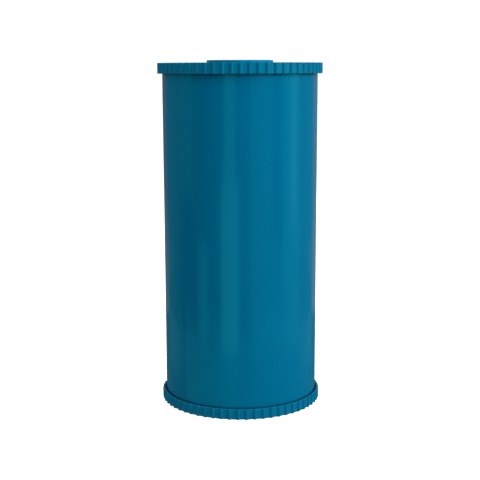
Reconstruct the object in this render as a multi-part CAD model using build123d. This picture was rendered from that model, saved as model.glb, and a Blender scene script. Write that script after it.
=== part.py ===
from build123d import *
import math
import os

# A refillable media cartridge: a plastic tube closed by two screw caps with serrated grip rims.
# Water enters through slots in the inlet cap, rises through the packed bed and leaves through
# the port in the outlet cap, which seals on a flat gasket. Millimetres, +Z up, with the origin
# at the centre of the face that the inlet cap stands on.

# Driving dimensions
OVERALL_HEIGHT = 247.0
OUTLET_FACE_Z = 245.15
TUBE_RADIUS = 55.3
TUBE_WALL = 3.3
TUBE_END_GAP = 0.1
TUBE_EDGE = 0.4

# Screw caps, described with the outer face at z = 0 and the plug pointing up
INLET_RIM_RADIUS = 58.1
OUTLET_RIM_RADIUS = 58.75
INLET_TOOTH_PHASE = -2.0
OUTLET_TOOTH_PHASE = 0.4
RIM_HEIGHT = 7.5
RIM_BORE_RADIUS = 56.15
RIM_EDGE = 0.3
TOOTH_COUNT = 60
TOOTH_HEIGHT = 1.1
TOOTH_HALF_WIDTH = 1.25
TOOTH_ROOT_RADIUS = 0.3
CAP_FLOOR = 4.0
PLUG_RADIUS = 48.7
PLUG_WALL = 2.5
PLUG_TOP = 17.0
PLUG_EDGE = 0.5
FIELD_INNER_RADIUS = 26.5
FIELD_OUTER_RADIUS = 50.0
FIELD_DEPTH = 1.6
FIELD_CORNER = 1.5
SECTOR_COUNT = 12
RIB_WIDTH = 2.0
MOUTH_FLARE = 0.3

# Inlet slots and the blind locator socket in the inlet cap's boss
SLOT_WIDTH = 2.4
INLET_SLOT_ANGLES = (-8.0, 0.0, 8.0)
INLET_SLOT_INNER = 28.5
INLET_SLOT_OUTER = 45.0
PORT_RADIUS = 14.0
COLLAR_RADIUS = 17.0
LOCATOR_DEPTH = 10.0
LOCATOR_BOSS_TOP = 12.5

# Outlet port, its flat gasket and its screen
PORT_COLLAR_TOP = 12.95
PORT_EDGE = 0.5
GASKET_RADIUS = 23.65
GASKET_BORE_RADIUS = 15.0
GASKET_SEAT_DEPTH = 1.5
GASKET_SEAT_GAP = 0.1
GASKET_EDGE = 0.5
SCREEN_THICKNESS = 1.0
OUTLET_SCREEN_RADIUS = 16.0
CLIP_RADIUS = 19.0
CLIP_BORE_RADIUS = 14.2
CLIP_LIP = 1.4
CLIP_HEIGHT = 6.2

# Thread rings bonded in the tube's ends, with a pocket for the O-ring
RING_RADIUS = 51.95
RING_HEIGHT = 14.0
POCKET_RADIUS = 51.0
POCKET_DEPTH = 3.2
THREAD_BORE_RADIUS = 50.0
THREAD_LEAD = 8.0
THREAD_STARTS = 2
THREAD_HEIGHT = 0.95
THREAD_BASE_WIDTH = 2.3
THREAD_CREST_WIDTH = 1.5
THREAD_ROOT_BURY = 0.6
THREAD_ARC = 54.0
THREAD_ARC_PITCH = 60.0
THREAD_ARCS = 5
THREAD_FIRST_Z = 8.6
O_RING_BORE_RADIUS = 48.75
O_RING_RADIUS = 50.95
O_RING_HEIGHT = 2.8
O_RING_GAP = 0.05

# Inside the tube, from the inlet end to the outlet end
SCREEN_BORE_RADIUS = 17.2
SCREEN_RADIUS = 45.9
SCREEN_RING_WIDTH = 2.5
SCREEN_RING_HEIGHT = 1.4
SCREEN_RING_RADIUS = 46.1
PLATE_RADIUS = 51.7
PLATE_THICKNESS = 3.0
SPRING_HEIGHT = 18.0
SPRING_RADIUS = 21.5
SPRING_WIRE = 2.5
SPRING_TURNS = 3.5
GUIDE_BORE_RADIUS = 23.6
GUIDE_WALL = 1.6
GUIDE_HEIGHT = 3.0
PLATE_SKIRT_BORE = 49.4
PLATE_SKIRT_HEIGHT = 5.0
PAD_THICKNESS = 6.0
FOAM_THICKNESS = 8.0
OUTLET_PAD_THICKNESS = 5.0
LAYER_GAP = 0.1
PLATE_SLOTS = ((12, 7.0, 18.5), (24, 28.0, 47.5))

# Heights that follow from these
TUBE_BORE_RADIUS = TUBE_RADIUS - TUBE_WALL
TUBE_BOTTOM = CAP_FLOOR + TUBE_END_GAP
TUBE_TOP = OUTLET_FACE_Z - CAP_FLOOR - TUBE_END_GAP
RING_TOP = TUBE_BOTTOM + RING_HEIGHT
SPRING_BOTTOM = RING_TOP + PLATE_THICKNESS
PRESSURE_PLATE_Z = SPRING_BOTTOM + SPRING_HEIGHT
INLET_PAD_Z = PRESSURE_PLATE_Z + PLATE_THICKNESS
BED_BOTTOM = INLET_PAD_Z + PAD_THICKNESS + LAYER_GAP
SUPPORT_PLATE_TOP = TUBE_TOP - RING_HEIGHT - LAYER_GAP
OUTLET_PAD_TOP = SUPPORT_PLATE_TOP - PLATE_THICKNESS - LAYER_GAP
FOAM_TOP = OUTLET_PAD_TOP - OUTLET_PAD_THICKNESS - LAYER_GAP
BED_TOP = FOAM_TOP - FOAM_THICKNESS - LAYER_GAP
GASKET_BOTTOM = OUTLET_FACE_Z - GASKET_SEAT_DEPTH
OUTLET_SCREEN_TOP = OUTLET_FACE_Z - PORT_COLLAR_TOP

BASE = (Align.CENTER, Align.CENTER, Align.MIN)


def polar(radius, angle):
    """Point at a radius and an angle in degrees."""
    return (radius * math.cos(math.radians(angle)), radius * math.sin(math.radians(angle)))


def disc(radius, bottom, top):
    return Pos(0, 0, bottom) * Cylinder(radius, top - bottom, align=BASE)


def ring(inner, outer, bottom, top):
    return disc(outer, bottom, top) - disc(inner, bottom, top)


def turned(points):
    """Solid of revolution about Z through (radius, z) points."""
    outline = make_face(Polyline(*points, close=True))
    return revolve(Plane.XZ * outline, Axis.Z)


def turned_ring(inner, outer, bottom, top, edge):
    """Ring with all four edges chamfered."""
    return turned([
        (inner, bottom + edge),
        (inner + edge, bottom),
        (outer - edge, bottom),
        (outer, bottom + edge),
        (outer, top - edge),
        (outer - edge, top),
        (inner + edge, top),
        (inner, top - edge),
    ])


def upside_down(part):
    """Turns a piece of the inlet end over into the outlet end."""
    return Pos(0, 0, OUTLET_FACE_Z) * Rot(180, 0, 0) * part


# Thread


def thread(root_radius, crest_radius, first_angle):
    """Interrupted two-start ridges, in short arcs with flow gaps between them."""
    side = math.copysign(THREAD_ROOT_BURY, root_radius - crest_radius)
    buried = root_radius + side
    half_base = THREAD_BASE_WIDTH / 2
    half_crest = THREAD_CREST_WIDTH / 2
    section = make_face(Polyline(
        (buried, -half_base),
        (root_radius, -half_base),
        (crest_radius, -half_crest),
        (crest_radius, half_crest),
        (root_radius, half_base),
        (buried, half_base),
        close=True,
    ))
    path = Helix(THREAD_LEAD, THREAD_LEAD * THREAD_ARC / 360, root_radius)
    arc = sweep(Plane.XZ * section, path=path, is_frenet=True)
    arcs = []
    for start in range(THREAD_STARTS):
        for step in range(THREAD_ARCS):
            turn = step * THREAD_ARC_PITCH
            angle = first_angle + start * 360 / THREAD_STARTS + turn
            height = THREAD_FIRST_Z + THREAD_LEAD * turn / 360
            arcs.append(Pos(0, 0, height) * Rot(0, 0, angle) * arc)
    return arcs


# Caps


def tooth_outline(radius, phase):
    """Outline of half-round grip teeth that stand on a round floor."""
    floor = radius - TOOTH_HEIGHT
    pitch = 360 / TOOTH_COUNT
    half_tooth = math.degrees(TOOTH_HALF_WIDTH / floor)
    edges = []
    for tooth in range(TOOTH_COUNT):
        middle = phase + tooth * pitch
        before = polar(floor, middle - half_tooth)
        after = polar(floor, middle + half_tooth)
        following = polar(floor, middle + pitch - half_tooth)
        edges.append(ThreePointArc(before, polar(radius, middle), after))
        edges.append(ThreePointArc(after, polar(floor, middle + pitch / 2), following))
    outline = make_face(edges)
    return fillet(outline.vertices(), TOOTH_ROOT_RADIUS)


def grip_rim(radius, phase):
    """Serrated ring whose bore clears the tube, with its teeth running to both faces."""
    teeth = extrude(tooth_outline(radius, phase), RIM_HEIGHT)
    levels = teeth.edges().group_by(Axis.Z)
    teeth = chamfer(levels[0] + levels[-1], RIM_EDGE)
    bore = turned([
        (0, 0),
        (RIM_BORE_RADIUS, 0),
        (RIM_BORE_RADIUS, RIM_HEIGHT - TUBE_EDGE),
        (RIM_BORE_RADIUS + TUBE_EDGE, RIM_HEIGHT),
        (0, RIM_HEIGHT),
    ])
    return teeth - bore


def flared_cut(outline, depth):
    """Cutter that goes up into a face at z = 0, with a flared mouth."""
    widening = extrude(outline, MOUTH_FLARE, taper=-45)
    flare = Pos(0, 0, MOUTH_FLARE) * mirror(widening, about=Plane.XY)
    return extrude(outline, depth) + flare


def field_pocket():
    """One hollow between two ribs of the recessed field, about the X axis."""
    half_sector = 180 / SECTOR_COUNT
    inner_half = half_sector - math.degrees(math.asin(RIB_WIDTH / 2 / FIELD_INNER_RADIUS))
    outer_half = half_sector - math.degrees(math.asin(RIB_WIDTH / 2 / FIELD_OUTER_RADIUS))
    outline = make_face([
        Line(polar(FIELD_INNER_RADIUS, inner_half), polar(FIELD_OUTER_RADIUS, outer_half)),
        ThreePointArc(
            polar(FIELD_OUTER_RADIUS, outer_half),
            polar(FIELD_OUTER_RADIUS, 0),
            polar(FIELD_OUTER_RADIUS, -outer_half),
        ),
        Line(polar(FIELD_OUTER_RADIUS, -outer_half), polar(FIELD_INNER_RADIUS, -inner_half)),
        ThreePointArc(
            polar(FIELD_INNER_RADIUS, -inner_half),
            polar(FIELD_INNER_RADIUS, 0),
            polar(FIELD_INNER_RADIUS, inner_half),
        ),
    ])
    rounded = fillet(outline.vertices(), FIELD_CORNER)
    return flared_cut(rounded, FIELD_DEPTH)


def around(cutter, count, first=0.0):
    """Copies of a cutter at even angles."""
    return [Rot(0, 0, first + 360 / count * place) * cutter for place in range(count)]


def cap_blank(rim_radius, tooth_phase):
    """Floor, serrated rim, plug and thread that both caps share."""
    plug_bore = PLUG_RADIUS - PLUG_WALL
    body = turned([
        (0, 0),
        (RIM_BORE_RADIUS + TUBE_EDGE, 0),
        (RIM_BORE_RADIUS + TUBE_EDGE, CAP_FLOOR),
        (PLUG_RADIUS, CAP_FLOOR),
        (PLUG_RADIUS, PLUG_TOP - PLUG_EDGE),
        (PLUG_RADIUS - PLUG_EDGE, PLUG_TOP),
        (plug_bore + PLUG_EDGE, PLUG_TOP),
        (plug_bore, PLUG_TOP - PLUG_EDGE),
        (plug_bore, CAP_FLOOR),
        (0, CAP_FLOOR),
    ])
    body = body + thread(PLUG_RADIUS, PLUG_RADIUS + THREAD_HEIGHT, 90)
    body = body + grip_rim(rim_radius, tooth_phase)
    return body - around(field_pocket(), SECTOR_COUNT)


def make_inlet_cap():
    cap = cap_blank(INLET_RIM_RADIUS, INLET_TOOTH_PHASE)
    cap = cap + disc(COLLAR_RADIUS, CAP_FLOOR, LOCATOR_BOSS_TOP)
    socket = turned([
        (0, 0),
        (PORT_RADIUS + PORT_EDGE, 0),
        (PORT_RADIUS, PORT_EDGE),
        (PORT_RADIUS, LOCATOR_DEPTH),
        (0, LOCATOR_DEPTH),
    ])
    length = INLET_SLOT_OUTER - INLET_SLOT_INNER
    slot = Pos(INLET_SLOT_INNER + length / 2, 0) * SlotOverall(length, SLOT_WIDTH)
    cutter = Pos(0, 0, FIELD_DEPTH) * flared_cut(slot, CAP_FLOOR - FIELD_DEPTH)
    slots = []
    for angle in INLET_SLOT_ANGLES:
        slots += around(cutter, SECTOR_COUNT, angle)
    return cap - socket - slots


def make_outlet_cap():
    cap = cap_blank(OUTLET_RIM_RADIUS, -OUTLET_TOOTH_PHASE)
    cap = cap + disc(COLLAR_RADIUS, CAP_FLOOR, PORT_COLLAR_TOP)
    seat_radius = GASKET_RADIUS + GASKET_SEAT_GAP
    port = turned([
        (0, 0),
        (seat_radius + MOUTH_FLARE, 0),
        (seat_radius, MOUTH_FLARE),
        (seat_radius, GASKET_SEAT_DEPTH),
        (PORT_RADIUS + PORT_EDGE, GASKET_SEAT_DEPTH),
        (PORT_RADIUS, GASKET_SEAT_DEPTH + PORT_EDGE),
        (PORT_RADIUS, PORT_COLLAR_TOP),
        (0, PORT_COLLAR_TOP),
    ])
    return upside_down(cap - port)


# Seals


def make_outlet_gasket():
    """Flat ring with a softly rounded upper edge."""
    blank = ring(GASKET_BORE_RADIUS, GASKET_RADIUS, GASKET_BOTTOM, OVERALL_HEIGHT)
    upper = blank.edges().filter_by(GeomType.CIRCLE).group_by(Axis.Z)[-1]
    return fillet(upper, GASKET_EDGE)


def make_o_ring():
    """Ring squeezed to an oval section under the cap's floor."""
    middle = (O_RING_BORE_RADIUS + O_RING_RADIUS) / 2
    half_width = (O_RING_RADIUS - O_RING_BORE_RADIUS) / 2
    height = CAP_FLOOR + O_RING_GAP + O_RING_HEIGHT / 2
    section = Plane.XZ * (Pos(middle, height) * Ellipse(half_width, O_RING_HEIGHT / 2))
    return revolve(section, Axis.Z)


# Tube


def make_casing_tube():
    return turned_ring(TUBE_BORE_RADIUS, TUBE_RADIUS, TUBE_BOTTOM, TUBE_TOP, TUBE_EDGE)


def make_thread_ring():
    pocket_floor = TUBE_BOTTOM + POCKET_DEPTH
    blank = turned([
        (POCKET_RADIUS, TUBE_BOTTOM),
        (RING_RADIUS, TUBE_BOTTOM),
        (RING_RADIUS, RING_TOP),
        (THREAD_BORE_RADIUS, RING_TOP),
        (THREAD_BORE_RADIUS, pocket_floor),
        (POCKET_RADIUS, pocket_floor),
    ])
    return blank + thread(THREAD_BORE_RADIUS, THREAD_BORE_RADIUS - THREAD_HEIGHT, 0)


# Screens


def make_inlet_screen():
    return ring(SCREEN_BORE_RADIUS, SCREEN_RADIUS, CAP_FLOOR, CAP_FLOOR + SCREEN_THICKNESS)


def make_inlet_screen_ring():
    bottom = CAP_FLOOR + SCREEN_THICKNESS
    inner = SCREEN_RING_RADIUS - SCREEN_RING_WIDTH
    return turned_ring(inner, SCREEN_RING_RADIUS, bottom, bottom + SCREEN_RING_HEIGHT, MOUTH_FLARE)


def make_outlet_screen():
    return disc(OUTLET_SCREEN_RADIUS, OUTLET_SCREEN_TOP - SCREEN_THICKNESS, OUTLET_SCREEN_TOP)


def make_outlet_screen_ring():
    """Snap ring: a wall round the port collar and a lip that holds the screen."""
    bottom = OUTLET_SCREEN_TOP - SCREEN_THICKNESS - CLIP_LIP
    bore = COLLAR_RADIUS + O_RING_GAP
    return turned([
        (CLIP_BORE_RADIUS, bottom),
        (CLIP_RADIUS - MOUTH_FLARE, bottom),
        (CLIP_RADIUS, bottom + MOUTH_FLARE),
        (CLIP_RADIUS, bottom + CLIP_HEIGHT),
        (bore, bottom + CLIP_HEIGHT),
        (bore, bottom + CLIP_LIP),
        (CLIP_BORE_RADIUS, bottom + CLIP_LIP),
    ])


# Plates, spring and the packed bed


def slotted_plate(bottom):
    plate = turned([
        (0, bottom),
        (PLATE_RADIUS - MOUTH_FLARE, bottom),
        (PLATE_RADIUS, bottom + MOUTH_FLARE),
        (PLATE_RADIUS, bottom + PLATE_THICKNESS - MOUTH_FLARE),
        (PLATE_RADIUS - MOUTH_FLARE, bottom + PLATE_THICKNESS),
        (0, bottom + PLATE_THICKNESS),
    ])
    slots = []
    for count, inner, outer in PLATE_SLOTS:
        outline = Pos((inner + outer) / 2, 0) * SlotOverall(outer - inner, SLOT_WIDTH)
        slots += around(Pos(0, 0, bottom) * extrude(outline, PLATE_THICKNESS), count)
    return plate - slots


def spring_guide(bottom):
    outer = GUIDE_BORE_RADIUS + GUIDE_WALL
    return ring(GUIDE_BORE_RADIUS, outer, bottom, bottom + GUIDE_HEIGHT)


def make_spring_retainer():
    return slotted_plate(RING_TOP) + spring_guide(SPRING_BOTTOM)


def make_pressure_plate():
    """Piston-like plate with a skirt that keeps it square in the tube."""
    bottom = PRESSURE_PLATE_Z
    skirt_radius = PLATE_RADIUS - MOUTH_FLARE
    skirt_bottom = bottom - PLATE_SKIRT_HEIGHT
    skirt = ring(PLATE_SKIRT_BORE, skirt_radius, skirt_bottom, bottom + MOUTH_FLARE)
    return slotted_plate(bottom) + spring_guide(bottom - GUIDE_HEIGHT) + skirt


def make_support_plate():
    return slotted_plate(SUPPORT_PLATE_TOP - PLATE_THICKNESS)


def make_bed_spring():
    """Open coil that touches both plates."""
    rise = SPRING_HEIGHT - SPRING_WIRE
    path = Helix(rise / SPRING_TURNS, rise, SPRING_RADIUS)
    section = Plane(path @ 0, z_dir=path % 0) * Circle(SPRING_WIRE / 2)
    coil = sweep(section, path=path, is_frenet=True)
    return Pos(0, 0, SPRING_BOTTOM + SPRING_WIRE / 2) * coil


def layer(bottom, top):
    return disc(PLATE_RADIUS, bottom, top)


PARTS = {
    "inlet_cap": make_inlet_cap(),
    "inlet_screen": make_inlet_screen(),
    "inlet_screen_ring": make_inlet_screen_ring(),
    "inlet_o_ring": make_o_ring(),
    "casing_tube": make_casing_tube(),
    "inlet_thread_ring": make_thread_ring(),
    "outlet_thread_ring": upside_down(make_thread_ring()),
    "spring_retainer": make_spring_retainer(),
    "bed_spring": make_bed_spring(),
    "pressure_plate": make_pressure_plate(),
    "inlet_pad": layer(INLET_PAD_Z, INLET_PAD_Z + PAD_THICKNESS),
    "carbon_bed": layer(BED_BOTTOM, BED_TOP),
    "expansion_pad": layer(FOAM_TOP - FOAM_THICKNESS, FOAM_TOP),
    "outlet_pad": layer(OUTLET_PAD_TOP - OUTLET_PAD_THICKNESS, OUTLET_PAD_TOP),
    "support_plate": make_support_plate(),
    "outlet_o_ring": upside_down(make_o_ring()),
    "outlet_cap": make_outlet_cap(),
    "outlet_gasket": make_outlet_gasket(),
    "outlet_screen": make_outlet_screen(),
    "outlet_screen_ring": make_outlet_screen_ring(),
}

os.makedirs("parts", exist_ok=True)
for name, shape in PARTS.items():
    export_step(shape, os.path.join("parts", name + ".step"))
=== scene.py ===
import math

import bmesh
import bpy
import numpy as np
from mathutils import Matrix, Vector, kdtree


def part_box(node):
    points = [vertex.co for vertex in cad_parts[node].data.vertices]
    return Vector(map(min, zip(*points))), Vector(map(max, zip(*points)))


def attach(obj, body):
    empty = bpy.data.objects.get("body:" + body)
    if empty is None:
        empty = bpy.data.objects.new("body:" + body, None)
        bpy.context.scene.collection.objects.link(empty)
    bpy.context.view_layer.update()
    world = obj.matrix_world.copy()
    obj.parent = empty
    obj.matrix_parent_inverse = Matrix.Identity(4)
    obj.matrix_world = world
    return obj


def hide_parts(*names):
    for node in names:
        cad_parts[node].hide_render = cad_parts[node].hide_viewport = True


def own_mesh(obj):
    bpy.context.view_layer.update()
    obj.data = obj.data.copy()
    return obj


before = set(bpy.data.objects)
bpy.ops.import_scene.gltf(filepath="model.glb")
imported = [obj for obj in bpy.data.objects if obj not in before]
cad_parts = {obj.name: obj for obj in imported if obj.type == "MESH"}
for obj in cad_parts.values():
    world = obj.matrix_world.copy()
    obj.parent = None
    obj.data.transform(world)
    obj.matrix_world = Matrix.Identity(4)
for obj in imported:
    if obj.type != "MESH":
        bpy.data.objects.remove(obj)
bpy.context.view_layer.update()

# Looks of a refillable media cartridge: a glossy teal tube between two serrated screw caps.
# Everything is in metres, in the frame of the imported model: +Z up, the inlet cap on z = 0,
# and the camera on the -Y side.

MM = 0.001
scene = bpy.context.scene


def node_span(node):
    """Outer radius, lowest z and highest z of a round CAD node."""
    low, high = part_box(node)
    return high.x, low.z, high.z


# ---------------------------------------------------------------- camera

CAMERA_DISTANCE = 0.7270
CAMERA_HEIGHT = 0.24160
CAMERA_PITCH = 0.1694
CAMERA_YAW = 0.00039
CAMERA_ROLL = -0.0028
LENS_MM = 75.51


def make_camera():
    data = bpy.data.cameras.new("camera")
    data.lens = LENS_MM
    data.sensor_width = 36.0
    data.clip_start = 0.01
    data.clip_end = 100.0
    camera = bpy.data.objects.new("camera", data)
    camera.location = (0.0, -CAMERA_DISTANCE, CAMERA_HEIGHT)
    turn = Matrix.Rotation(CAMERA_YAW, 3, "Z") @ Matrix.Rotation(math.pi / 2 - CAMERA_PITCH, 3, "X")
    camera.rotation_euler = (turn @ Matrix.Rotation(CAMERA_ROLL, 3, "Z")).to_euler()
    scene.collection.objects.link(camera)
    scene.camera = camera


# ---------------------------------------------------------------- light, floor and backdrop

TARGET = Vector((0.0, 0.0, 0.12))
SKY = (0.96, 0.98, 1.0, 1.0)
SKY_STRENGTH = 0.55

# Tints of what the glossy plastic reflects
WHITE = (1.0, 1.0, 1.0)
PALE = (0.75, 1.0, 0.95)
COOL = (0.35, 1.0, 0.95)
GREENISH = (0.35, 1.1, 0.70)

PANEL_DISTANCE = 1.1
TABLE_LEVEL = -1 * MM
FLOOR_RADIUS = 6.0
FLOOR_LEVEL = -0.2 * MM
FLOOR_ALBEDO = 0.8
FLOOR_GLOW = 0.72
DOME_RADIUS = 8.0
DOME_GLOW = 1.02


def from_camera_side(azimuth, distance, height):
    """A point at an azimuth from the camera's side of the object, positive to its right."""
    angle = math.radians(azimuth)
    return Vector((distance * math.sin(angle), -distance * math.cos(angle), height))


def area_light(name, place, aim, width, height, radiance, tint=WHITE):
    """A rectangular light of even radiance that faces a point."""
    data = bpy.data.lights.new(name, "AREA")
    data.shape = "RECTANGLE"
    data.size = width
    data.size_y = height
    data.energy = radiance * math.pi * width * height
    data.color = tint
    light = bpy.data.objects.new(name, data)
    light.location = place
    light.rotation_euler = (place - aim).to_track_quat("Z", "Y").to_euler()
    light.visible_camera = False
    scene.collection.objects.link(light)
    return light


def soft_light(name, azimuth, distance, height, size, radiance):
    """Lights the object's own colour and leaves no reflection of its outline."""
    place = from_camera_side(azimuth, distance, height)
    light = area_light(name, place, TARGET, size, size, radiance)
    light.visible_glossy = False


def reflected_panel(name, start, end, low, high, radiance, tint=WHITE):
    """An upright panel between two azimuths that shows only as a reflection."""
    middle = (low + high) / 2
    place = from_camera_side((start + end) / 2, PANEL_DISTANCE, middle)
    width = 2 * PANEL_DISTANCE * math.tan(math.radians(end - start) / 2)
    axis = Vector((0.0, 0.0, middle))
    light = area_light(name, place, axis, width, high - low, radiance, tint)
    light.visible_diffuse = False


def table_glow(name, y, width, depth, radiance, tint=WHITE):
    """What part of the pale table top looks like in the object's reflections."""
    place = Vector((0.0, y, TABLE_LEVEL))
    above = place + Vector((0.0, 0.0, 1.0))
    light = area_light(name, place, above, width, depth, radiance, tint)
    light.visible_diffuse = False


def make_soft_lights():
    soft_light("key_right", azimuth=58, distance=1.4, height=0.75, size=1.0, radiance=6.4)
    soft_light("key_high", azimuth=55, distance=1.05, height=1.35, size=0.9, radiance=2.7)
    soft_light("left_high", azimuth=-65, distance=1.05, height=1.35, size=0.9, radiance=2.1)
    soft_light("back_left", azimuth=-140, distance=1.4, height=0.40, size=0.9, radiance=2.2)
    soft_light("back_right", azimuth=140, distance=1.4, height=0.40, size=0.9, radiance=2.8)
    soft_light("top", azimuth=0, distance=0.5, height=1.60, size=0.9, radiance=2.3)


def make_reflections():
    reflected_panel("side_left", start=-132, end=-98, low=-0.30, high=0.7, radiance=0.11, tint=GREENISH)
    reflected_panel("side_left_inner", start=-98, end=-72, low=0.02, high=0.7, radiance=0.18, tint=GREENISH)
    reflected_panel("low_left", start=-64, end=-48, low=-0.24, high=-0.06, radiance=0.37, tint=COOL)
    reflected_panel("skirt_left", start=-90, end=-5, low=-0.50, high=-0.25, radiance=0.19, tint=COOL)
    reflected_panel("front_high", start=-23, end=-7, low=0.05, high=0.7, radiance=0.46)
    reflected_panel("front_low", start=-28, end=-2, low=-0.25, high=0.05, radiance=0.64)
    reflected_panel("middle", start=14, end=46, low=-0.25, high=0.7, radiance=0.23)
    reflected_panel("low_right", start=46, end=64, low=-0.25, high=-0.06, radiance=0.20, tint=COOL)
    reflected_panel("side_right", start=64, end=96, low=-0.25, high=0.7, radiance=0.38, tint=COOL)
    reflected_panel("side_right_core", start=77, end=90, low=-0.02, high=0.7, radiance=0.35, tint=PALE)
    reflected_panel("side_right_outer", start=96, end=135, low=-0.30, high=0.7, radiance=0.14, tint=COOL)
    reflected_panel("back_right_panel", start=135, end=168, low=-0.2, high=0.7, radiance=0.20)
    reflected_panel("back_panel", start=172, end=188, low=-0.2, high=0.7, radiance=0.6)
    reflected_panel("back_left_panel", start=-168, end=-135, low=-0.2, high=0.7, radiance=0.11)
    table_glow("table_near", y=0.0, width=0.54, depth=0.54, radiance=0.118, tint=COOL)
    table_glow("table_behind", y=0.77, width=1.2, depth=1.0, radiance=0.05)


def make_world():
    world = bpy.data.worlds.new("studio")
    scene.world = world
    world.use_nodes = True
    background = world.node_tree.nodes["Background"]
    background.inputs["Color"].default_value = SKY
    background.inputs["Strength"].default_value = SKY_STRENGTH
    world.cycles_visibility.glossy = False
    world.cycles_visibility.camera = False
    scene.view_settings.view_transform = "Standard"


def only_camera_sees(stage_object):
    stage_object.visible_diffuse = False
    stage_object.visible_glossy = False
    stage_object.visible_transmission = False
    stage_object.visible_shadow = False


def matt_white(name, albedo, glow):
    """A surface with no gloss that also glows by itself."""
    material = bpy.data.materials.new(name)
    material.use_nodes = True
    shader = material.node_tree.nodes["Principled BSDF"]
    shader.inputs["Base Color"].default_value = (albedo, albedo, albedo, 1.0)
    shader.inputs["Roughness"].default_value = 1.0
    shader.inputs["Specular IOR Level"].default_value = 0.0
    shader.inputs["Emission Color"].default_value = (1.0, 1.0, 1.0, 1.0)
    shader.inputs["Emission Strength"].default_value = glow
    return material


def make_stage():
    """A pale floor that takes a faint contact shadow, inside a plain white dome."""
    bpy.ops.mesh.primitive_circle_add(vertices=96, radius=FLOOR_RADIUS, fill_type="NGON")
    floor = bpy.context.object
    floor.name = "studio_floor"
    floor.location.z = FLOOR_LEVEL
    floor.data.materials.append(matt_white("studio_floor", FLOOR_ALBEDO, FLOOR_GLOW))
    bpy.ops.mesh.primitive_uv_sphere_add(segments=48, ring_count=24, radius=DOME_RADIUS)
    dome = bpy.context.object
    dome.name = "studio_dome"
    dome.data.materials.append(matt_white("studio_dome", 0.0, DOME_GLOW))
    only_camera_sees(floor)
    only_camera_sees(dome)


# ---------------------------------------------------------------- material building blocks


class Graph:
    """A material's node tree, built one named step at a time. Lengths are in metres."""

    def __init__(self, name):
        self.material = bpy.data.materials.new(name)
        self.material.use_nodes = True
        self.tree = self.material.node_tree
        self.shader = self.tree.nodes["Principled BSDF"]
        self.place = self.tree.nodes.new("ShaderNodeTexCoord").outputs["Object"]

    def node(self, kind, **inputs):
        made = self.tree.nodes.new(kind)
        for name, value in inputs.items():
            self.feed(made.inputs[name.replace("_", " ")], value)
        return made

    def feed(self, socket, value):
        if isinstance(value, bpy.types.NodeSocket):
            self.tree.links.new(value, socket)
        else:
            socket.default_value = value

    def stretched(self, x, y, z):
        """The object's own coordinates, scaled along each axis."""
        mapping = self.node("ShaderNodeMapping", Vector=self.place)
        mapping.inputs["Scale"].default_value = (x, y, z)
        return mapping.outputs["Vector"]

    def noise(self, size, detail=2.0, vector=None, roughness=0.5):
        """Cloudy noise from 0 to 1 whose features are about size across."""
        made = self.node("ShaderNodeTexNoise", Scale=1.0 / size, Detail=detail, Roughness=roughness)
        self.feed(made.inputs["Vector"], self.place if vector is None else vector)
        return made.outputs["Fac"]

    def cells(self, size):
        """Distance from the nearest of many scattered points, about size apart."""
        made = self.node("ShaderNodeTexVoronoi", Vector=self.place, Scale=1.0 / size)
        return made.outputs["Distance"]

    def between(self, value, low, high, to_low=0.0, to_high=1.0):
        """Maps low..high of a value to to_low..to_high, and clamps it."""
        limits = {"From_Min": low, "From_Max": high, "To_Min": to_low, "To_Max": to_high}
        return self.node("ShaderNodeMapRange", Value=value, **limits).outputs["Result"]

    def math(self, operation, first, second=0.0):
        made = self.tree.nodes.new("ShaderNodeMath")
        made.operation = operation
        self.feed(made.inputs[0], first)
        self.feed(made.inputs[1], second)
        return made.outputs["Value"]

    def blend(self, amount, first, second):
        """Colour that goes from first to second as amount goes from 0 to 1."""
        made = self.tree.nodes.new("ShaderNodeMix")
        made.data_type = "RGBA"
        self.feed(made.inputs["Factor"], amount)
        for socket, value in ((made.inputs[6], first), (made.inputs[7], second)):
            self.feed(socket, value if isinstance(value, bpy.types.NodeSocket) else (*value, 1.0))
        return made.outputs[2]

    def height(self):
        return self.node("ShaderNodeSeparateXYZ", Vector=self.place).outputs["Z"]

    def distance_from_axis(self):
        parts = self.node("ShaderNodeSeparateXYZ", Vector=self.place)
        squares = [self.math("MULTIPLY", parts.outputs[axis], parts.outputs[axis]) for axis in "XY"]
        return self.math("SQRT", self.math("ADD", *squares))

    def bump(self, height, amplitude, after=None):
        """Relief of that amplitude, added to the relief of an earlier bump."""
        made = self.node("ShaderNodeBump", Distance=amplitude, Strength=1.0)
        self.feed(made.inputs["Height"], height)
        if after is not None:
            self.feed(made.inputs["Normal"], after)
        return made.outputs["Normal"]

    def finish(self, color, roughness, normal=None, **constants):
        """Connects the shader. Constants are the shader's own even values, by socket name."""
        self.feed(self.shader.inputs["Base Color"], color)
        self.feed(self.shader.inputs["Roughness"], roughness)
        if normal is not None:
            self.feed(self.shader.inputs["Normal"], normal)
        for name, value in constants.items():
            self.shader.inputs[name.replace("_", " ")].default_value = value
        return self.material


def shade(color, factor):
    return tuple(channel * factor for channel in color)


# ---------------------------------------------------------------- materials

TEAL = (0.0, 0.112, 0.222)
CAP_TEAL = (0.0, 0.114, 0.220)
SCUFFED_TEAL = (0.02, 0.17, 0.27)
GASKET_BLUE = (0.0, 0.150, 0.292)
TEAL_SHEEN = (0.05, 1.0, 1.0, 1.0)
GLOSSY_INDEX = 1.7
RIM_HEIGHT = 7.5 * MM


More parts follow.
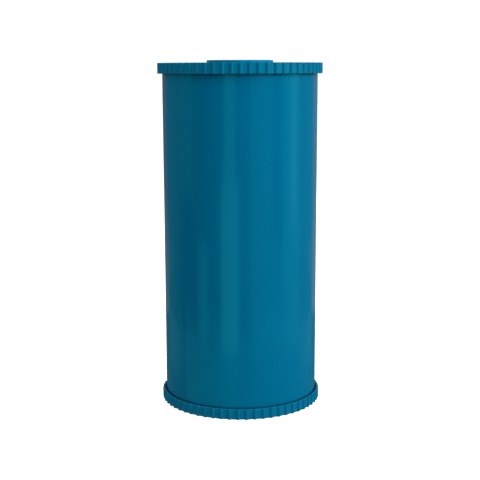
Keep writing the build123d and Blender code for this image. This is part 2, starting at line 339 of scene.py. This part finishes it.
def pipe_plastic(joint_heights):
    """Glossy extruded pipe: draw waves and die lines along it, and patchy painted shade where it enters the
    rims.
    """
    g = Graph("pipe_plastic")
    along = g.stretched(1.0, 1.0, 0.03)
    waves = g.noise(9 * MM, 1.0, along)
    die_lines = g.noise(0.9 * MM, 2.0, along)
    grain = g.noise(0.35 * MM, 2.0)
    clouds = g.noise(60 * MM, 2.0)
    tone = g.math("ADD", g.math("MULTIPLY", die_lines, 0.5), g.math("MULTIPLY", clouds, 0.5))
    color = g.blend(g.between(tone, 0.3, 0.7), shade(TEAL, 0.97), shade(TEAL, 1.03))
    # Painted shade: a dark band, in patches, on the tube next to each rim stands in for the shadow the rims
    # cast on it.
    patches = g.between(g.noise(8 * MM, 3.0), 0.35, 0.55, 0.42, 0.56)
    for joint in joint_heights:
        away = g.math("ABSOLUTE", g.math("SUBTRACT", g.height(), joint))
        painted_rim_shade = g.math("MULTIPLY", g.between(away, 0.4 * MM, 1.3 * MM, 1.0, 0.0), patches)
        color = g.blend(painted_rim_shade, color, shade(TEAL, 0.05))
    handled = g.between(g.noise(35 * MM, 4.0, roughness=0.6), 0.45, 0.75, 0.0, 0.03)
    roughness = g.math("ADD", g.between(die_lines, 0.3, 0.7, 0.12, 0.15), handled)
    relief = g.bump(waves, 0.035 * MM)
    relief = g.bump(die_lines, 0.0012 * MM, relief)
    relief = g.bump(grain, 0.0006 * MM, relief)
    return g.finish(color, roughness, relief, Specular_Tint=TEAL_SHEEN, IOR=GLOSSY_INDEX, Anisotropic=0.6)


def moulded_cap_plastic(name, crest_radius):
    """Satin moulding, a little polished and scuffed where hands rub the crests of its teeth; the crests'
    colour is painted darker, a painted shade that tones down how bright the lit crests come out.
    """
    g = Graph(name)
    spark = g.noise(0.28 * MM, 3.0)
    flow = g.noise(14 * MM, 3.0)
    radius = g.distance_from_axis()
    crest_wear_and_shade = g.between(radius, crest_radius - 0.5 * MM, crest_radius - 0.02 * MM)
    scuffs = g.between(g.noise(1.6 * MM, 4.0, roughness=0.7), 0.45, 0.65)
    rubbed = g.math("MULTIPLY", crest_wear_and_shade, scuffs)
    plain = g.blend(g.between(flow, 0.3, 0.7), shade(CAP_TEAL, 1.03), shade(CAP_TEAL, 1.11))
    # Painted shade: the crests are darkened to tone down how much brighter the light makes them than the
    # grooves.
    painted_crest_shade = g.blend(crest_wear_and_shade, plain, shade(CAP_TEAL, 0.92))
    color = g.blend(g.math("MULTIPLY", rubbed, 0.15), painted_crest_shade, SCUFFED_TEAL)
    roughness = g.math("SUBTRACT", g.between(spark, 0.3, 0.7, 0.33, 0.42), g.math("MULTIPLY", crest_wear_and_shade, 0.07))
    relief = g.bump(spark, 0.003 * MM)
    relief = g.bump(scuffs, 0.002 * MM, relief)
    return g.finish(color, roughness, relief, Specular_Tint=TEAL_SHEEN)


def gasket_rubber():
    g = Graph("gasket_rubber")
    skin = g.noise(0.22 * MM, 3.0)
    bloom = g.between(g.noise(6 * MM, 4.0, roughness=0.65), 0.4, 0.7)
    color = g.blend(bloom, shade(GASKET_BLUE, 0.97), shade(GASKET_BLUE, 1.06))
    roughness = g.math("ADD", g.between(skin, 0.3, 0.7, 0.46, 0.54), g.math("MULTIPLY", bloom, 0.06))
    return g.finish(color, roughness, g.bump(skin, 0.004 * MM), Specular_Tint=TEAL_SHEEN)


def seal_rubber():
    g = Graph("seal_rubber")
    skin = g.noise(0.2 * MM, 3.0)
    grease = g.between(g.noise(3.5 * MM, 3.0), 0.42, 0.6)
    color = g.blend(grease, (0.011, 0.011, 0.012), (0.020, 0.020, 0.021))
    roughness = g.between(grease, 0.0, 1.0, 0.55, 0.28)
    return g.finish(color, roughness, g.bump(skin, 0.003 * MM))


def natural_plastic():
    """Uncoloured polypropylene, faintly milky."""
    g = Graph("natural_plastic")
    spark = g.noise(0.3 * MM, 3.0)
    flow = g.noise(11 * MM, 3.0)
    color = g.blend(g.between(flow, 0.3, 0.7), (0.56, 0.57, 0.53), (0.63, 0.64, 0.60))
    roughness = g.between(spark, 0.3, 0.7, 0.36, 0.46)
    return g.finish(color, roughness, g.bump(spark, 0.004 * MM), Subsurface_Weight=0.15,
                    Subsurface_Radius=(0.003, 0.003, 0.0025))


def insert_plastic():
    g = Graph("insert_plastic")
    spark = g.noise(0.3 * MM, 3.0)
    flow = g.noise(9 * MM, 3.0)
    color = g.blend(g.between(flow, 0.3, 0.7), shade(TEAL, 0.86), shade(TEAL, 0.94))
    roughness = g.between(spark, 0.3, 0.7, 0.40, 0.50)
    return g.finish(color, roughness, g.bump(spark, 0.004 * MM), Specular_Tint=TEAL_SHEEN)


def net_plastic():
    g = Graph("net_plastic")
    drawn = g.noise(0.25 * MM, 3.0)
    grime = g.between(g.noise(4 * MM, 3.0), 0.5, 0.8)
    color = g.blend(grime, (0.64, 0.65, 0.62), (0.54, 0.54, 0.49))
    return g.finish(color, g.between(drawn, 0.3, 0.7, 0.38, 0.5), g.bump(drawn, 0.006 * MM))


def spring_steel():
    g = Graph("spring_steel")
    drawn = g.noise(0.12 * MM, 3.0)
    stain = g.between(g.noise(5 * MM, 3.0), 0.45, 0.75)
    color = g.blend(stain, (0.56, 0.55, 0.53), (0.43, 0.40, 0.36))
    roughness = g.math("ADD", g.between(drawn, 0.3, 0.7, 0.22, 0.34), g.math("MULTIPLY", stain, 0.12))
    return g.finish(color, roughness, g.bump(drawn, 0.002 * MM), Metallic=1.0)


def felt_fibre():
    g = Graph("felt_fibre")
    fuzz = g.noise(0.15 * MM, 4.0, roughness=0.7)
    tuft = g.noise(3 * MM, 3.0)
    tone = g.math("MULTIPLY", fuzz, tuft)
    color = g.blend(g.between(tone, 0.12, 0.4), (0.50, 0.49, 0.45), (0.70, 0.69, 0.66))
    return g.finish(color, 0.9, g.bump(fuzz, 0.05 * MM), Sheen_Weight=0.35, Sheen_Roughness=0.5)


def open_foam():
    g = Graph("open_foam")
    cells = g.cells(0.9 * MM)
    tone = g.between(cells, 0.1, 0.75)
    color = g.blend(tone, (0.045, 0.048, 0.052), (0.13, 0.135, 0.14))
    return g.finish(color, 0.85, g.bump(cells, 0.15 * MM), Sheen_Weight=0.15, Sheen_Roughness=0.5)


def carbon_granules():
    g = Graph("carbon_granules")
    pits = g.noise(0.18 * MM, 4.0, roughness=0.65)
    tone = g.noise(1.8 * MM, 2.0)
    color = g.blend(g.between(tone, 0.35, 0.65), (0.012, 0.012, 0.013), (0.030, 0.030, 0.031))
    roughness = g.between(pits, 0.3, 0.7, 0.55, 0.8)
    return g.finish(color, roughness, g.bump(pits, 0.04 * MM))


# ---------------------------------------------------------------- mesh building blocks


def add_mesh(name, vertices, faces, smooth=True):
    mesh = bpy.data.meshes.new(name)
    mesh.from_pydata(vertices, [], faces)
    mesh.validate()
    work = bmesh.new()
    work.from_mesh(mesh)
    bmesh.ops.recalc_face_normals(work, faces=work.faces)
    work.to_mesh(mesh)
    work.free()
    if smooth:
        mesh.shade_smooth()
    else:
        mesh.shade_flat()
    made = bpy.data.objects.new(name, mesh)
    scene.collection.objects.link(made)
    return made


def tube_along(points, radius, sides, closed=False):
    """Vertices and faces of a round wire that follows points, with flat ends unless closed."""
    count = len(points)
    vertices = []
    for index, point in enumerate(points):
        before = points[index - 1] if index or closed else point
        after = points[(index + 1) % count] if index < count - 1 or closed else point
        forward = (after - before).normalized()
        side = forward.cross(Vector((0, 0, 1)))
        side = side.normalized() if side.length > 1e-6 else Vector((1, 0, 0))
        up = side.cross(forward)
        for corner in range(sides):
            angle = 2 * math.pi * corner / sides
            vertices.append(point + radius * (math.cos(angle) * side + math.sin(angle) * up))
    faces = []
    for index in range(count if closed else count - 1):
        here = index * sides
        there = (index + 1) % count * sides
        for corner in range(sides):
            beside = (corner + 1) % sides
            faces.append((here + corner, here + beside, there + beside, there + corner))
    if not closed:
        faces.append(tuple(range(sides - 1, -1, -1)))
        faces.append(tuple(range((count - 1) * sides, count * sides)))
    return vertices, faces


class Bundle:
    """Gathers many wires into one mesh."""

    def __init__(self):
        self.vertices = []
        self.faces = []

    def add(self, vertices, faces):
        first = len(self.vertices)
        self.vertices += vertices
        self.faces += [tuple(first + corner for corner in face) for face in faces]


def add_sheet(work, rows, columns, place):
    """Grid of quads whose points place(row, column) gives."""
    grid = [[work.verts.new(place(row, column)) for column in columns] for row in rows]
    for r in range(len(rows) - 1):
        for c in range(len(columns) - 1):
            work.faces.new((grid[r][c], grid[r][c + 1], grid[r + 1][c + 1], grid[r + 1][c]))


def add_block(work, across, rise):
    """Closed block from -1 to 1 along each axis, of even quads."""
    square = np.linspace(-1.0, 1.0, across + 1)
    levels = np.linspace(-1.0, 1.0, rise + 1)
    for level in (-1.0, 1.0):
        add_sheet(work, square, square, lambda a, b, level=level: (a, b, level))
    for side in (-1.0, 1.0):
        add_sheet(work, square, levels, lambda a, b, side=side: (side, a, b))
        add_sheet(work, square, levels, lambda a, b, side=side: (a, side, b))
    bmesh.ops.remove_doubles(work, verts=work.verts, dist=1e-6)


def square_to_round(a, b):
    """Where a point of the square goes on the unit disc: its radius and its angle."""
    if max(abs(a), abs(b)) < 1e-9:
        return 0.0, 0.0
    if abs(a) > abs(b):
        axis = 0.0 if a > 0 else -math.pi
        return abs(a), axis + math.pi / 4 * b / a
    return abs(b), math.copysign(math.pi / 2, b) - math.pi / 4 * a / b


def rounded_rim(out, up, radius, half, rounding):
    """Pulls a point of a drum's section in to its rounded rims."""
    inner_out = min(out, radius - rounding)
    inner_up = max(-half + rounding, min(half - rounding, up))
    corner = Vector((out - inner_out, up - inner_up))
    if corner.x > 0 and abs(corner.y) > 0:
        corner = corner / corner.length * rounding
        return inner_out + corner.x, inner_up + corner.y
    return out, up


def drum(radius, bottom, top, around, rounding):
    """Closed drum with even quads, no poles and rounded rims: points, faces and normals."""
    across = around // 4
    rise = max(2, round((top - bottom) / (2 * math.pi * radius / around)))
    half = (top - bottom) / 2
    work = bmesh.new()
    add_block(work, across, rise)
    for vertex in work.verts:
        a, b, level = vertex.co
        reach, angle = square_to_round(a, b)
        out, up = rounded_rim(reach * radius, level * half, radius, half, rounding)
        vertex.co = (out * math.cos(angle), out * math.sin(angle), bottom + half + up)
    bmesh.ops.recalc_face_normals(work, faces=work.faces)
    work.normal_update()
    work.verts.index_update()
    points = np.array([vertex.co for vertex in work.verts])
    normals = np.array([vertex.normal for vertex in work.verts])
    faces = [tuple(corner.index for corner in face.verts) for face in work.faces]
    work.free()
    return points, faces, normals


def scattered(points, size, random):
    """For each point of a surface, among grain centres scattered about size apart: its distances
    to the two nearest centres, its offset from the nearest, and that centre's number."""
    low, high = points.min(0) - size, points.max(0) + size
    counts = np.ceil((high - low) / size).astype(int)
    grid = np.stack(np.meshgrid(*[np.arange(n) for n in counts], indexing="ij"), -1).reshape(-1, 3)
    centres = low + (grid + random.random(grid.shape)) * size
    tree = kdtree.KDTree(len(centres))
    for index, centre in enumerate(centres):
        tree.insert(centre, index)
    tree.balance()
    found = [tree.find_n(point, 2) for point in points]
    nearest = np.array([pair[0][2] for pair in found])
    second = np.array([pair[1][2] for pair in found])
    number = np.array([pair[0][1] for pair in found])
    return nearest, second, points - centres[number], number


# ---------------------------------------------------------------- pieces that replace CAD solids


NET_ANGLE = math.radians(30)
NET_STRAND = 0.55 * MM
NET_LAYER_OFFSET = 0.36 * NET_STRAND
NET_WOBBLE = 0.06 * NET_STRAND
NET_RIM_SHARE = 0.42


def chords(offset, reach, hole):
    """Stretches of a straight line at that offset from the axis, within a ring."""
    half = math.sqrt(reach**2 - offset**2)
    if abs(offset) >= hole:
        return [(-half, half)]
    inside = math.sqrt(hole**2 - offset**2)
    return [(-half, -inside), (inside, half)]


def add_net_layer(net, angle, height, reach, hole, pitch):
    """Parallel strands, each a little wavy."""
    along = Vector((math.cos(angle), math.sin(angle), 0))
    across = Vector((-along.y, along.x, 0))
    level = Vector((0, 0, height))
    offset = -math.floor(reach / pitch) * pitch
    while offset < reach:
        for start, end in chords(offset, reach, hole):
            steps = max(3, math.ceil((end - start) / (4 * pitch)))
            line = [
                level + across * (offset + NET_WOBBLE * math.sin(7 * step + offset / pitch))
                + along * (start + (end - start) * step / steps)
                for step in range(steps + 1)
            ]
            net.add(*tube_along(line, NET_STRAND / 2, 8))
        offset += pitch


def add_net_rim(net, radius, height, wire):
    turns = [2 * math.pi * step / 120 for step in range(120)]
    loop = [Vector((radius * math.cos(turn), radius * math.sin(turn), height)) for turn in turns]
    net.add(*tube_along(loop, wire, 10, closed=True))


def make_net(node, body, pitch, inner_radius=0.0):
    """Extruded diamond net: two layers of strands welded where they cross, with round rims."""
    outer_radius, bottom, top = node_span(node)
    rim_wire = NET_RIM_SHARE * (top - bottom)
    middle = (bottom + top) / 2
    reach = outer_radius - rim_wire
    hole = inner_radius + rim_wire if inner_radius else 0.0
    net = Bundle()
    add_net_layer(net, NET_ANGLE, middle - NET_LAYER_OFFSET, reach, hole, pitch)
    add_net_layer(net, -NET_ANGLE, middle + NET_LAYER_OFFSET, reach, hole, pitch)
    add_net_rim(net, reach, middle, rim_wire)
    if inner_radius:
        add_net_rim(net, hole, middle, rim_wire)
    screen = add_mesh(node + "_net", net.vertices, net.faces)
    screen.data.materials.append(net_plastic())
    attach(screen, body)
    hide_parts(node)


FELT_SKIN = 0.25 * MM
FELT_ROUNDING = 1.2 * MM
TUFT_SIZE = 3.2 * MM
TUFT_REACH = 2.4 * MM
TUFT_DEPTH = 0.35 * MM
FIBRE_COUNT = 1500
FIBRE_STEPS = 6
FIBRE_STEP = 0.7 * MM
FIBRE_LIFT = 0.18 * MM
FIBRE_RADIUS = 0.045 * MM


def loose_fibre(point, normal, random):
    """A short wandering fibre that starts just under the skin and arches over it."""
    heading = normal.orthogonal()
    heading.rotate(Matrix.Rotation(random.uniform(0, 2 * math.pi), 3, normal))
    place = point - 0.05 * MM * normal
    fibre = []
    for step in range(FIBRE_STEPS + 1):
        lift = math.sin(math.pi * step / FIBRE_STEPS) * FIBRE_LIFT
        fibre.append(place + normal * lift)
        heading.rotate(Matrix.Rotation(random.uniform(-0.5, 0.5), 3, normal))
        place = place + heading * FIBRE_STEP
    return fibre


def make_felt(node, body, seed):
    """Needled felt: a softly rounded, uneven disc with loose fibres lying on its skin."""
    random = np.random.default_rng(seed)
    radius, bottom, top = node_span(node)
    points, faces, normals = drum(
        radius - FELT_SKIN, bottom + FELT_SKIN, top - FELT_SKIN, 240, FELT_ROUNDING
    )
    nearest = scattered(points, TUFT_SIZE, random)[0]
    tufts = np.clip(nearest / TUFT_REACH, 0, 1)
    points = points - normals * (tufts * TUFT_DEPTH)[:, None]
    felt = Bundle()
    felt.add([Vector(point) for point in points], faces)
    for index in random.choice(len(points), FIBRE_COUNT, replace=False):
        fibre = loose_fibre(Vector(points[index]), Vector(normals[index]), random)
        if all(math.hypot(p.x, p.y) < radius - 0.1 * MM and bottom < p.z < top for p in fibre):
            felt.add(*tube_along(fibre, FIBRE_RADIUS, 3))
    pad = add_mesh(node + "_felt", felt.vertices, felt.faces)
    pad.data.materials.append(felt_fibre())
    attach(pad, body)
    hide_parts(node)


FOAM_ROUNDING = 0.8 * MM
FOAM_CELL = 2.6 * MM
FOAM_RIB = 1.1 * MM
FOAM_CELL_DEPTH = 0.9 * MM
FOAM_INSET = 0.05 * MM


def make_foam(node, body, seed):
    """Open foam: a drum eaten into by round cells that leave a web of ribs between them."""
    random = np.random.default_rng(seed)
    radius, bottom, top = node_span(node)
    points, faces, normals = drum(radius, bottom, top, 400, FOAM_ROUNDING)
    nearest, second = scattered(points, FOAM_CELL, random)[:2]
    openness = np.clip((second - nearest) / FOAM_RIB, 0, 1)
    points = points - normals * (openness * FOAM_CELL_DEPTH + FOAM_INSET)[:, None]
    foam = add_mesh(node + "_foam", [Vector(point) for point in points], faces)
    foam.data.materials.append(open_foam())
    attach(foam, body)
    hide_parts(node)


GRAIN_ROUNDING = 0.8 * MM
GRAIN_SIZE = 2.7 * MM
GRAIN_TILT = 0.22
CRACK_WIDTH = 0.7 * MM
LEAST_DEPTH = 0.02 * MM
MOST_DEPTH = 1.9 * MM


def make_carbon(node, body, seed):
    """Packed granules: each grain has its own height and tilt, with a crack all round it."""
    random = np.random.default_rng(seed)
    radius, bottom, top = node_span(node)
    points, faces, normals = drum(radius, bottom, top, 320, GRAIN_ROUNDING)
    nearest, second, offset, number = scattered(points, GRAIN_SIZE, random)
    grains = number.max() + 1
    sunk = random.uniform(0.1, 0.8, grains)[number] * MM
    tilt = random.normal(0.0, GRAIN_TILT, (grains, 3))[number]
    slope = (tilt * offset).sum(1)
    crack = np.clip(1 - (second - nearest) / CRACK_WIDTH, 0, 1) * CRACK_WIDTH
    depth = np.clip(sunk + slope + crack, LEAST_DEPTH, MOST_DEPTH)
    points = points - normals * depth[:, None]
    bed = add_mesh(node + "_grains", [Vector(point) for point in points], faces, smooth=False)
    bed.data.materials.append(carbon_granules())
    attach(bed, body)
    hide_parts(node)


SPRING_WIRE = 2.5 * MM
CLOSED_TURNS = 0.9
OPEN_TURNS = 2.7
CLOSED_PITCH = 0.98 * SPRING_WIRE
GROUND_SHARE = 0.4
STEPS_PER_TURN = 48


def make_spring(node, body):
    """Round wire coil with closed, ground ends, given a mesh of its own."""
    outer_radius, bottom, top = node_span(node)
    coil_radius = outer_radius - SPRING_WIRE / 2
    closed_rise = CLOSED_TURNS * CLOSED_PITCH
    low = bottom + GROUND_SHARE * SPRING_WIRE
    high = top - GROUND_SHARE * SPRING_WIRE
    marks = [0, CLOSED_TURNS, CLOSED_TURNS + OPEN_TURNS, 2 * CLOSED_TURNS + OPEN_TURNS]
    heights = [low, low + closed_rise, high - closed_rise, high]
    line = []
    for step in range(round(marks[-1] * STEPS_PER_TURN) + 1):
        turn = step / STEPS_PER_TURN
        height = float(np.interp(turn, marks, heights))
        angle = 2 * math.pi * turn
        line.append(Vector((coil_radius * math.cos(angle), coil_radius * math.sin(angle), height)))
    vertices, faces = tube_along(line, SPRING_WIRE / 2, 20)
    for vertex in vertices:
        vertex.z = max(bottom, min(top, vertex.z))
    spring = add_mesh(node + "_coil", vertices, faces)
    spring.data.materials.append(spring_steel())
    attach(spring, body)
    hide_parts(node)
    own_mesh(spring)


# ---------------------------------------------------------------- CAD nodes that stay


def finish_cad_nodes():
    outlet_crest, _, outlet_face = node_span("outlet_cap")
    inlet_crest, inlet_face, _ = node_span("inlet_cap")
    natural = natural_plastic()
    insert = insert_plastic()
    seal = seal_rubber()
    finishes = {
        "casing_tube": pipe_plastic((inlet_face + RIM_HEIGHT, outlet_face - RIM_HEIGHT)),
        "outlet_cap": moulded_cap_plastic("outlet_cap_plastic", outlet_crest),
        "inlet_cap": moulded_cap_plastic("inlet_cap_plastic", inlet_crest),
        "outlet_gasket": gasket_rubber(),
        "inlet_o_ring": seal,
        "outlet_o_ring": seal,
        "inlet_thread_ring": insert,
        "outlet_thread_ring": insert,
        "inlet_screen_ring": natural,
        "outlet_screen_ring": natural,
        "spring_retainer": natural,
        "pressure_plate": natural,
        "support_plate": natural,
    }
    for node, material in finishes.items():
        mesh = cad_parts[node].data
        mesh.materials.clear()
        mesh.materials.append(material)


# ---------------------------------------------------------------- assembly

INLET_SCREEN_BORE = 17.2 * MM


def make_replacements():
    make_net("inlet_screen", "inlet_end", pitch=2.6 * MM, inner_radius=INLET_SCREEN_BORE)
    make_net("outlet_screen", "outlet_end", pitch=2.2 * MM)
    make_felt("inlet_pad", "plunger", seed=11)
    make_felt("outlet_pad", "casing", seed=12)
    make_foam("expansion_pad", "casing", seed=13)
    make_carbon("carbon_bed", "casing", seed=14)
    make_spring("bed_spring", "casing")


make_camera()
make_world()
make_soft_lights()
make_reflections()
make_stage()
finish_cad_nodes()
make_replacements()
